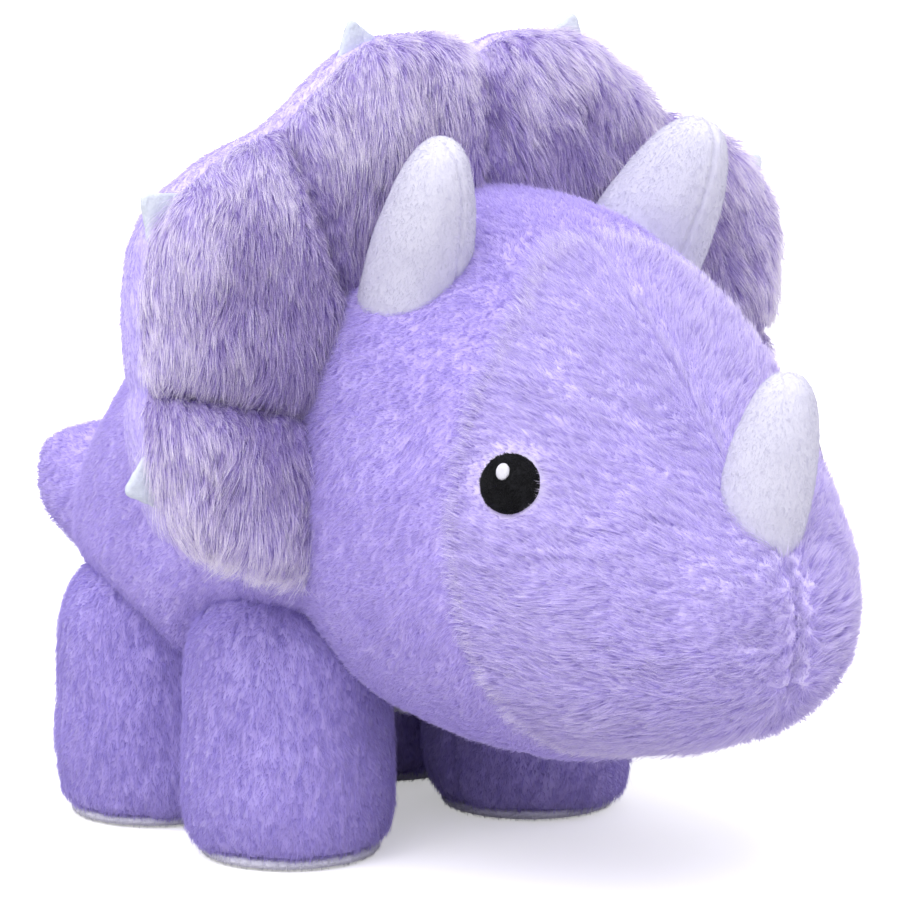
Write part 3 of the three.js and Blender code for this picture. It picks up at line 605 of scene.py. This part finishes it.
# ------------------------------------------------------------------ eyes
for side, (at, n) in EYES.items():
    n = unit(n[None])[0]
    x = unit(np.cross([0, 0, 1.0], n)[None])[0]
    z = np.cross(n, x)
    rr = np.linspace(0, 1, 15)
    th = np.linspace(0, 2 * math.pi, 49)[:-1]

    def on_head(p2, lift):
        out = []
        for p in at + x * p2[:, :1] + z * p2[:, 1:] + n * 30:
            hit = head_tree.ray_cast(Vector(p), Vector(-n))[0]
            out.append(np.array(hit) if hit is not None else p - n * 30)
        return np.array(out) + n * lift[:, None]

    def disc(name, rx, rz, cx, cz, base, dome, material, node, skirt):
        rows = [np.array([[cx, cz]])] + [np.stack([cx + rx * r * np.cos(th), cz + rz * r * np.sin(th)], 1) for r in rr[1:]]
        p2 = np.concatenate(rows)
        rad = np.concatenate([[0.0]] + [np.full(len(th), r) for r in rr[1:]])
        lift = base + dome * np.sqrt(np.clip(1 - rad ** 2.4, 0, 1))
        top = on_head(p2, lift)
        low = on_head(p2, np.full(len(p2), -skirt))
        m = len(th)
        faces = []
        for j in range(m):
            k = (j + 1) % m
            faces.append([0, 1 + j, 1 + k])
            for i in range(len(rr) - 2):
                faces.append([1 + i * m + j, 1 + (i + 1) * m + j, 1 + (i + 1) * m + k, 1 + i * m + k])
        nv = len(top)
        back = [[f + nv for f in reversed(fc)] for fc in faces]
        last = 1 + (len(rr) - 2) * m
        rim = [[last + (j + 1) % m, last + j, last + j + nv, last + (j + 1) % m + nv] for j in range(m)]
        pts = np.concatenate([top, low])
        o = mesh_object(name, pts, faces + back + rim, material)
        dress(o, "head", [node])
        tri = np.array([f if len(f) == 3 else f[:3] for f in faces] + [[f[0], f[2], f[3]] for f in faces if len(f) == 4])
        nn = normals(pts, tri)
        return pts, nn, tri

    pts, nn, tri = disc(f"eye_{side}_patch", EYE_R, EYE_R, 0, 0, 0.9, 2.3, M["eye"], f"eye_{side}", 1.6)
    away = lambda p, nrm: noise_vec(p, 2.0, 7)
    pile(f"eye_{side}_pile", pts, nn, tri, 900, 0.7, away, "head", S["eye"], 105, lift=0.7, radius=0.09, clump=0.9, gather=0.3, wander=0.5, wander_scale=4)
    hx = -2.0
    disc(f"eye_{side}_glint", 2.4, 3.0, hx, 3.4, 3.0, 1.3, M["thread"], f"eye_{side}_highlight", -1.2)

# ------------------------------------------------------------------ horns
for name, spec in HORNS.items():
    base, R, L = horn_frame(spec)
    rings = [[s * L, 0, r, r, r, 0, 2] for s, r in spec["rings"]]
    d, q = cube_sphere(N_MID)
    v = lofted(d, rings)
    q = outward(v, q)
    if name != "nose_horn":                       # flatter one way: the long way runs outwards and forwards
        a = np.array([-0.7071 if name.endswith("left") else 0.7071, -0.7071])
        b = np.array([a[1], -a[0]])
        flat = v[:, [0, 2]]
        v[:, [0, 2]] = (flat @ a)[:, None] * a * 1.10 + (flat @ b)[:, None] * b * 0.90
    ang = np.arctan2(v[:, 0], v[:, 2])            # 0 faces the back of the horn
    rad = np.hypot(v[:, 0], v[:, 2])
    off = (math.pi - np.abs(ang)) * rad if name != "nose_horn" else np.abs(ang) * rad
    n = normals(v, q)
    v = v + n * (groove(off, 1.2, 0.8) + 0.10 * np.sin(v[:, 1] / 1.1) * np.exp(-(off / 3.5) ** 2))[:, None]
    v = v + n * (0.40 * noise(v, 16, 61) + 0.05 * noise(v, 2.2, 62))[:, None]
    foot = np.exp(-((v[:, 1] - 0.02 * L) / 7.0) ** 2)
    v = v + n * (foot * (0.35 * np.sin(ang * 13)) - 0.8 * foot)[:, None]
    V3 = v @ R.T + base
    o = mesh_object(f"{name}_velboa", V3, q, M["horn"])
    dress(o, "head", [f"{name}_skin"])
    n3 = normals(V3, q)
    seen = centre(v, q)[:, 1] > 0.02 * L
    pile(f"{name}_pile", V3, n3, q[seen], 190, 0.95, lambda p, nr, R=R: np.broadcast_to(-R[:, 1], p.shape), "head", S["horn"], 106,
         lift=0.35, radius=0.07, clump=1.0, gather=0.05, wander=0.12, ragged=0.12)
    d, q = cube_sphere(10)
    v = lofted(d, rings, -3.4)
    q = outward(v, q)
    filling(f"{name}_filling", v @ R.T + base, q, "head", [f"{name}_stuffing"], 33)

# ------------------------------------------------------------------ frill
LEVELS = ("top", "middle", "lower")
INNER = np.array([[0, 196], [55, 182], [72, 165], [60, 118]], float)
CUTS = (0, 8, 18, 27)
ALONG = 76
OUT = 56


def even(P, n):
    """n points evenly along a smooth curve through P."""
    full = np.concatenate([2 * P[:1] - P[1:2], P, 2 * P[-1:] - P[-2:-1]])
    out = []
    for i in range(len(P) - 1):
        p0, p1, p2, p3 = full[i:i + 4]
        u = np.linspace(0, 1, 24, endpoint=False)[:, None]
        out.append(0.5 * (2 * p1 + (p2 - p0) * u + (2 * p0 - 5 * p1 + 4 * p2 - p3) * u * u + (3 * p1 - p0 - 3 * p2 + p3) * u ** 3))
    c = np.concatenate(out + [P[-1:]])
    s = np.concatenate([[0], np.cumsum(np.linalg.norm(np.diff(c, axis=0), axis=1))])
    t = np.linspace(0, s[-1], n)
    return np.stack([np.interp(t, s, c[:, 0]), np.interp(t, s, c[:, 1])], 1)


def segment_grid(k, along):
    outer = even(FRILL_EDGE[CUTS[k]:CUTS[k + 1] + 1], along)
    tau = np.linspace(0, 1, along)
    inner = INNER[k] + (INNER[k + 1] - INNER[k]) * tau[:, None]
    return tau, inner, outer


def crown(x, width):
    return np.sqrt(np.clip(1 - (1 - np.minimum(np.maximum(x, 0), width) / width) ** 2, 0, 1))


def grid_faces(a, b):
    i = np.arange(a * b).reshape(a, b)
    return np.stack([i[:-1, :-1], i[1:, :-1], i[1:, 1:], i[:-1, 1:]], -1).reshape(-1, 4)


def both_closed(front, back, a, b):
    """A closed piece from two grids that face away from each other."""
    i = np.arange(a * b).reshape(a, b)
    n = a * b
    f = grid_faces(a, b)
    ring = np.concatenate([i[:, 0], i[-1, 1:], i[-2::-1, -1], i[0, -2:0:-1]])
    nxt = np.roll(ring, -1)
    sides = np.stack([ring, nxt, nxt + n, ring + n], 1)
    P = np.concatenate([front, back])
    F = np.concatenate([f[:, ::-1], f + n, sides])
    return P, outward(P, F)


def channel_distance(p):
    """Distance from the nearest sewn channel of the frill, seen from the front."""
    f = np.stack([np.abs(p[:, 0]), p[:, 2]], 1)
    best = np.full(len(p), 1e9)
    for a, b in ((FRILL_EDGE[0], INNER[0]), (FRILL_EDGE[8], INNER[1]), (FRILL_EDGE[18], INNER[2])):
        t = np.clip(((f - a) @ (b - a)) / ((b - a) @ (b - a)), 0, 1)[:, None]
        best = np.minimum(best, np.linalg.norm(f - a - t * (b - a), axis=1))
    return best


OUTLINE = np.concatenate([even(FRILL_EDGE[CUTS[k]:CUTS[k + 1] + 1], 40) for k in range(3)])


def frost_share_with_painted_light(p):
    """Share of pale fibres: the real frosted tips in random patches, plus painted light and shade: high near the rim
    and on the crests as painted light, low along the channels and near the head as painted shade.
    """
    f = np.stack([np.abs(p[:, 0]), p[:, 2]], 1)
    edge = np.full(len(f), 1e9)
    for q in OUTLINE:
        edge = np.minimum(edge, np.hypot(f[:, 0] - q[0], f[:, 1] - q[1]))
    # more pale fibres towards the rim is painted light, fewer towards the head is painted shade
    w = 1.08 - edge / 40 + 0.45 * noise(p, 16, 77) + 0.3 * noise(p, 7, 78)
    # fewer pale fibres along the sewn channels is painted shade in the creases
    w = w * (0.25 + 0.75 * np.clip(channel_distance(p) / 14, 0, 1))
    return np.clip(w, 0.06, 0.97)


def frill_length(seed):
    return lambda p: (8.2 + 1.7 * noise(p, 12, seed)) * (0.42 + 0.58 * np.clip(channel_distance(p) / 11, 0, 1))


frill_comb = lambda p, n: np.stack([0.25 * np.sign(p[:, 0]), -0.35 + 0 * p[:, 0], -1.0 + 0 * p[:, 0]], 1)
for side in ("left", "right"):
    s = 1 if side == "left" else -1
    for k in range(3):
        tau, inner, outer = segment_grid(k, ALONG)
        off = outer - [0, 135]
        ok = np.linalg.norm(off, axis=1) > 86.5
        tau, inner, outer, off = tau[ok], inner[ok], outer[ok], off[ok]
        rows = len(tau)
        inward = unit(inner - outer)
        b = (inward * off).sum(1)
        reach = -b - np.sqrt(np.maximum(b * b - (off * off).sum(1) + 84.5 ** 2, 0))
        inner = outer + inward * np.maximum(reach, 2.0)[:, None]
        u = np.linspace(0.0, 1, OUT) ** 0.8
        P2 = inner[:, None] + (outer - inner)[:, None] * u[None, :, None]
        e = np.linalg.norm(outer[:, None] - P2, axis=2)
        step = np.linalg.norm(P2[1:] - P2[:-1], axis=2)
        run = np.concatenate([np.zeros((1, OUT)), np.cumsum(step, 0)])
        c = np.minimum(run, run[-1] - run)
        if k == 2:
            c = run
        w = crown(e, 26) ** 0.85 * (0.06 + 0.94 * crown(c, 24) ** 0.9)
        flat = P2.reshape(-1, 2)
        p3 = np.stack([flat[:, 0] * s, np.zeros(len(flat)), flat[:, 1]], 1)
        y = -13.0 - 14.0 * w.reshape(-1)
        y = y + 0.9 * noise(p3, 20, 70) * w.reshape(-1)
        y = y + 0.8 * np.sin(e.reshape(-1) / 1.7) * np.exp(-(c.reshape(-1) / 5.0) ** 2) * np.clip(e.reshape(-1) / 6, 0, 1)
        p3[:, 1] = y
        F = grid_faces(rows, OUT)
        nn = normals(p3, F)
        if nn[:, 1].mean() > 0:
            F = F[:, ::-1]
            nn = -nn
        p3 = tufts(p3, nn, frill_comb(p3, nn), 1.15, 3.6, 12.0, 71 + k)
        nn = normals(p3, F)
        o = shell(f"frill_{side}_{LEVELS[k]}_plush", p3, nn, F, np.ones(len(F), bool), 2.2, M["frill"])
        dress(o, "head", [f"frill_front_{side}_{LEVELS[k]}"])
        Fc = p3[F].mean(1)
        in_head = ((Fc[:, 0] / 84) ** 2 + ((Fc[:, 2] - 131) / np.where(Fc[:, 2] > 131, 106, 76)) ** 2) < 1
        # dark and pale fibres are shared out to paint light on the rim and crests and shade in the channels and by the
        # head
        for tone, share in (("frill", lambda p: 1 - frost_share_with_painted_light(p)), ("frost", frost_share_with_painted_light)):
            pile(f"frill_{side}_{LEVELS[k]}_{tone}_pile", p3, nn, F[~in_head], 230, frill_length(80 + k), frill_comb, "head", S[tone], 110 + k,
                 lift=0.48, radius=0.085, clump=2.2, gather=0.42, wander=0.45, wander_scale=15, ragged=0.28, keep=share)
        m = (np.linspace(0, rows - 1, 15)).astype(int)
        mu = (np.linspace(OUT * (0.3 if k == 2 else 0.2), OUT - 5, 10)).astype(int)
        pg = P2[np.ix_(m, mu)]
        wg = w[np.ix_(m, mu)]
        mid = pg.mean((0, 1))
        pg = mid + (pg - mid) * 0.93
        fy = -11.0 - 11.0 * wg
        fr = np.stack([pg[..., 0] * s, fy, pg[..., 1]], -1).reshape(-1, 3)
        bk = np.stack([pg[..., 0] * s, np.full(wg.shape, -3.0), pg[..., 1]], -1).reshape(-1, 3)
        pw, fw = both_closed(fr, bk, len(m), len(mu))
        o = mesh_object(f"frill_{side}_{LEVELS[k]}_filling", pw, fw, M["fill"])
        dress(o, "head", [f"frill_wadding_{side}_{LEVELS[k]}"])

# backing: the flat back and the smooth band that turns forward to the seam, in one piece
rows_in, rows_out, rows_c = [], [], []
for s, order in ((-1, (2, 1, 0)), (1, (0, 1, 2))):
    for k in order:
        tau, inner, outer = segment_grid(k, ALONG)
        step = np.concatenate([[0], np.cumsum(np.linalg.norm(np.diff(outer, axis=0), axis=1))])
        c = step if k == 2 else np.minimum(step, step[-1] - step)
        if s < 0:
            inner, outer, c = inner[::-1], outer[::-1], c[::-1]
        if rows_in:
            inner, outer, c = inner[1:], outer[1:], c[1:]
        rows_in.append(inner * [s, 1])
        rows_out.append(outer * [s, 1])
        rows_c.append(c)
inner, outer, c = np.concatenate(rows_in), np.concatenate(rows_out), np.concatenate(rows_c)
off = outer - [0, 135]
keep_row = np.linalg.norm(off, axis=1) > 95.0
inner, outer, c, off = inner[keep_row], outer[keep_row], c[keep_row], off[keep_row]
inward = unit(inner - outer)
b = (inward * off).sum(1)
reach = -b - np.sqrt(np.maximum(b * b - (off * off).sum(1) + 91.8 ** 2, 0))
reach = np.maximum(reach, 11.0)
inner = outer + inward * reach[:, None]
long_way = reach[:, None]
roll = np.array([[9, 3.6], [6, 3.0], [3.2, 1.5], [1.2, -0.8], [0.1, -3.6], [-0.5, -6.6], [-0.4, -9.6], [0.4, -12.4], [2.2, -14.8], [5.0, -16.0], [8.0, -15.5]])
t = np.linspace(0, len(roll) - 1, 28)
er, yr = np.interp(t, range(len(roll)), roll[:, 0]), np.interp(t, range(len(roll)), roll[:, 1])
ef = np.linspace(1, 0, 46)[:-1]
e = np.concatenate([9 + ef[None] * (long_way - 9), np.broadcast_to(er, (len(inner), len(er)))], 1)
y = np.concatenate([np.broadcast_to(3.6, (len(inner), len(ef))), np.broadcast_to(yr, (len(inner), len(er)))], 1)
out_dir = (outer - inner) / long_way
P2 = outer[:, None] - out_dir[:, None] * e[..., None]
p3 = np.stack([P2[..., 0], y, P2[..., 1]], -1).reshape(-1, 3)
cc = np.repeat(c, e.shape[1])
ee = e.reshape(-1)
face = np.clip(ee / 12, 0, 1)
p3[:, 1] += 2.0 * crown(cc, 20) * crown(ee, 30) * face - 1.2 * np.exp(-(cc / 3.0) ** 2) * face
p3[:, 1] += 0.5 * np.sin(ee / 1.6) * np.exp(-(cc / 6.0) ** 2) * face
F = grid_faces(e.shape[0], e.shape[1])
nn = normals(p3, F)
back_face = ee > 20
if nn[back_face, 1].mean() < 0:
    F = F[:, ::-1]
    nn = -nn
rim_comb = lambda p, n: np.stack([0 * p[:, 0], -0.25 + 0 * p[:, 0], -1 + 0 * p[:, 0]], 1)
p3 = tufts(p3, nn, rim_comb(p3, nn), 0.35, 2.4, 6.0, 90)
nn = normals(p3, F)
Fc = p3[F].mean(1)
in_neck = np.zeros(len(F), bool)
o = shell("frill_backing_plush", p3, nn, F, ~in_neck, 2.0, M["rim"])
dress(o, "head", ["frill_back_panel"])
tucked = (p3[F].mean(1)[:, 1] < -13.2)
pile("frill_backing_pile", p3, nn, F[~in_neck & ~tucked], 120, 2.7, rim_comb, "head", S["rim"], 120, lift=0.3, radius=0.11, clump=2.2, gather=0.35)

# ------------------------------------------------------------------ rim spikes
SPIKES = [((49.5, 292.7), -8, (0.33, 1)), ((138.2, 239.5), -12, (1, 0.85)), ((143.8, 148.5), -11, (1, -0.25))]
SPIKE = [[0, 0, 0, 0, 0, 0, 3], [0.2, 0, 9.5, 1.3, 1.3, 0, 3], [2.5, 0, 12.4, 1.7, 1.7, 0, 3], [8, 0, 12.0, 1.9, 1.9, 0, 2.8],
         [13, 0, 8.6, 1.9, 1.9, 0, 2.6], [18, 0, 4.6, 1.7, 1.7, 0, 2.4], [21, 0, 2.2, 1.3, 1.3, 0, 2.2], [22.5, 0, 0, 0, 0, 0, 2]]
for side in ("left", "right"):
    s = 1 if side == "left" else -1
    for (at, y, out), level in zip(SPIKES, LEVELS):
        g = unit(np.array([[out[0] * s, 0, out[1]]]))[0]
        fwd = np.array([0, -1.0, 0])
        across = np.cross(g, fwd)
        d, q = cube_sphere(20)
        v = lofted(d, SPIKE)
        v = v + normals(v, outward(v, q)) * (0.22 * noise(v, 1.6, 95) + 0.25 * noise(v, 6, 96))[:, None]
        foot = np.array([at[0] * s, y, at[1]]) - g * 12.5
        V3 = foot + v[:, :1] * across + v[:, 1:2] * g + v[:, 2:] * fwd
        o = mesh_object(f"spike_{side}_{level}_felt", V3, outward(V3, q), M["felt"])
        dress(o, "head", [f"frill_spike_{side}_{level}"])

# ------------------------------------------------------------------ legs
leg_comb = lambda p, n: np.stack([0 * p[:, 0], 0.1 + 0 * p[:, 0], -1 + 0 * p[:, 0]], 1)
SOLE = [[0.2, 0, 0, 0, 0, 0, 2], [0.2, 0, 20, 20, 20, 0, 2], [0.4, 0, 29.5, 29.5, 29.5, 0, 2], [1.4, 0, 32.0, 32.0, 32.0, 0, 2],
        [2.8, 0, 32.6, 32.6, 32.6, 0, 2], [4.2, 0, 31.0, 31.0, 31.0, 0, 2], [5.0, 0, 24, 24, 24, 0, 2], [5.2, 0, 0, 0, 0, 0, 2]]
for i, (leg, (x, y)) in enumerate(LEGS.items()):
    body = f"leg_{leg}"
    upright = lambda v: np.stack([v[:, 0] + x, -v[:, 2] + y, v[:, 1]], 1)
    d, q = cube_sphere(N_MID)
    v = upright(lofted(d, LEG_RINGS, -1.4))
    q = outward(v, q)
    n = normals(v, q)
    v = v + n * (1.3 * noise(v, 34, 130 + i) + 0.6 * noise(v, 15, 140 + i))[:, None]
    inner_side = np.abs(v[:, 1] - y) * 10 + (np.sign(x) * (v[:, 0] - x) > 0) * 1000
    v = v + n * groove(inner_side / 10, 2.0, 1.2)[:, None]
    v[:, 2] = np.maximum(v[:, 2], 2.0)
    n = normals(v, q)
    vt = tufts(v, n, leg_comb(v, n), 0.55, 2.6, 7.0, 150 + i)
    vt[:, 2] = np.maximum(vt[:, 2], 1.8)
    # leg plush and pile are darker than the torso's as painted shade
    o = mesh_object(f"{body}_plush", vt, q, M["leg"])
    dress(o, body, [f"{body}_skin"])
    nt = normals(vt, q)
    C = centre(vt, q)
    seen = (C[:, 2] > 3.6) & (C[:, 2] < 99)
    pile(f"{body}_pile", vt, nt, q[seen], 150, 2.9, leg_comb, body, S["leg"], 160 + i, **SHORT)
    d2, q2 = cube_sphere(28)
    v = upright(lofted(d2, SOLE))
    q2 = outward(v, q2)
    n = normals(v, q2)
    ang = np.arctan2(v[:, 1] - y, v[:, 0] - x)
    edge = np.hypot(v[:, 0] - x, v[:, 1] - y) > 30
    v = v + n * (edge * 0.35 * np.sin(ang * 40) * (v[:, 2] > 2))[:, None]
    v[:, 2] = np.maximum(v[:, 2], 0.15)
    o = mesh_object(f"{body}_sole_plush", v, q2, M["grey"])
    dress(o, body, [f"{body}_sole"])
    C = centre(v, q2)
    n = normals(v, q2)
    seen = (C[:, 2] > 0.6) & (C[:, 2] < 3.5)
    pile(f"{body}_sole_pile", v, n, q2[seen], 110, 1.4, leg_comb, body, S["grey"], 170 + i, lift=0.45, radius=0.11, clump=2, gather=0.3)
    d3, q3 = cube_sphere(14)
    v = upright(lofted(d3, LEG_RINGS, -4.5))
    v[:, 2] = np.maximum(v[:, 2], 8.5)
    filling(f"{body}_filling", v, outward(v, q3), body, [f"{body}_stuffing"], 35)

# ------------------------------------------------------------------ tail
d, q = cube_sphere(N_MID)
v = lofted(d, TAIL_RINGS, -1.2)
q = outward(v, q)
n = normals(v, q)
v = v + n * (1.0 * noise(v, 26, 180) + 0.4 * noise(v, 11, 181))[:, None]
v = v + n * (groove(v[:, 0] - np.interp(v[:, 1], [108, 139, 174, 207], [-5, -6, -16, -31]), 1.8, 1.3))[:, None]
n = normals(v, q)
tail_comb = lambda p, n: np.stack([-0.2 + 0 * p[:, 0], 1 + 0 * p[:, 0], -0.25 + 0 * p[:, 0]], 1)
vt = tufts(v, n, tail_comb(v, n), 0.55, 2.6, 7.0, 182)
o = mesh_object("tail_plush", vt, q, M["short"])
dress(o, "tail", ["tail_skin"])
seen = centre(vt, q)[:, 1] > 128
pile("tail_pile", vt, normals(vt, q), q[seen], 160, 2.9, tail_comb, "tail", S["short"], 183, **SHORT)
d, q = cube_sphere(14)
v = lofted(d, TAIL_RINGS, -4.5)
filling("tail_filling", v, outward(v, q), "tail", ["tail_stuffing"], 36)

# ------------------------------------------------------------------ floor, light, camera
m, nt_, b_ = new_material("studio_floor")
g = node(nt_, "ShaderNodeTexNoise", Scale=3.0, Detail=3.0)
nt_.links.new(mapped(nt_, (1, 1, 1)), g.inputs["Vector"])
seen_floor = ramp(nt_, g.outputs["Fac"], [(0.3, (0.93, 0.925, 0.93)), (0.7, (0.945, 0.94, 0.945))])
path = nt_.nodes.new("ShaderNodeLightPath")
mixc = nt_.nodes.new("ShaderNodeMixRGB")
nt_.links.new(path.outputs["Is Camera Ray"], mixc.inputs["Fac"])
mixc.inputs["Color1"].default_value = (0.66, 0.65, 0.66, 1)
nt_.links.new(seen_floor, mixc.inputs["Color2"])
nt_.links.new(mixc.outputs["Color"], b_.inputs["Base Color"])
glow = node(nt_, "ShaderNodeMath", operation="MULTIPLY")
nt_.links.new(path.outputs["Is Camera Ray"], glow.inputs[0])
glow.inputs[1].default_value = 0.42
b_.inputs["Roughness"].default_value = 0.9
b_.inputs["Specular IOR Level"].default_value = 0.1
b_.inputs["Emission Color"].default_value = (1, 1, 1, 1)
nt_.links.new(glow.outputs[0], b_.inputs["Emission Strength"])
me = bpy.data.meshes.new("floor")
g = np.linspace(-14, 14, 9)
gx, gy = np.meshgrid(g, g, indexing="ij")
me.from_pydata(np.stack([gx, gy, np.full(gx.shape, -0.0004)], -1).reshape(-1, 3).tolist(), [], grid_faces(9, 9).tolist())
me.materials.append(m)
floor = bpy.data.objects.new("floor", me)
scene.collection.objects.link(floor)

world = bpy.data.worlds.new("studio")
scene.world = world
world.use_nodes = True
wt = world.node_tree
bg = wt.nodes["Background"]
tc = wt.nodes.new("ShaderNodeTexCoord")
sep = wt.nodes.new("ShaderNodeSeparateXYZ")
wt.links.new(tc.outputs["Generated"], sep.inputs["Vector"])
col = ramp(wt, sep.outputs["Z"], [(0.0, (0.75, 0.75, 0.75)), (0.06, (0.75, 0.75, 0.75)), (0.16, (0.26, 0.26, 0.27)), (0.6, (0.78, 0.78, 0.78)), (1.0, (1.2, 1.2, 1.2))])
ray = wt.nodes.new("ShaderNodeLightPath")
white = wt.nodes.new("ShaderNodeMixRGB")
white.inputs["Color2"].default_value = (1, 1, 1, 1)
wt.links.new(ray.outputs["Is Camera Ray"], white.inputs["Fac"])
wt.links.new(col, white.inputs["Color1"])
wt.links.new(white.outputs["Color"], bg.inputs["Color"])
bg.inputs["Strength"].default_value = 1.0


def sun(name, toward, strength, angle, colour=(1, 1, 1)):
    l = bpy.data.lights.new(name, "SUN")
    l.energy = strength
    l.angle = math.radians(angle)
    l.color = colour
    o = bpy.data.objects.new(name, l)
    o.rotation_euler = Vector(toward).to_track_quat("Z", "Y").to_euler()
    scene.collection.objects.link(o)


sun("key", (-0.72, -0.36, 1.10), 2.55, 60)
sun("fill", (0.30, -0.9, 0.75), 0.5, 90)

cam = bpy.data.cameras.new("camera")
cam.sensor_width = 36
cam.lens = 156.0
cam.clip_end = 100
co = bpy.data.objects.new("camera", cam)
eye = Vector(metres([-913.00, -1072.81, 352.10]))
look = Vector(metres([0.0, 0.003, 144.62]))
co.location = eye
co.rotation_euler = (look - eye).to_track_quat("-Z", "Y").to_euler()
scene.collection.objects.link(co)
scene.camera = co
scene.view_settings.view_transform = "Standard"
scene.view_settings.look = "None"

bpy.context.view_layer.update()
print("strands", STRANDS[0])
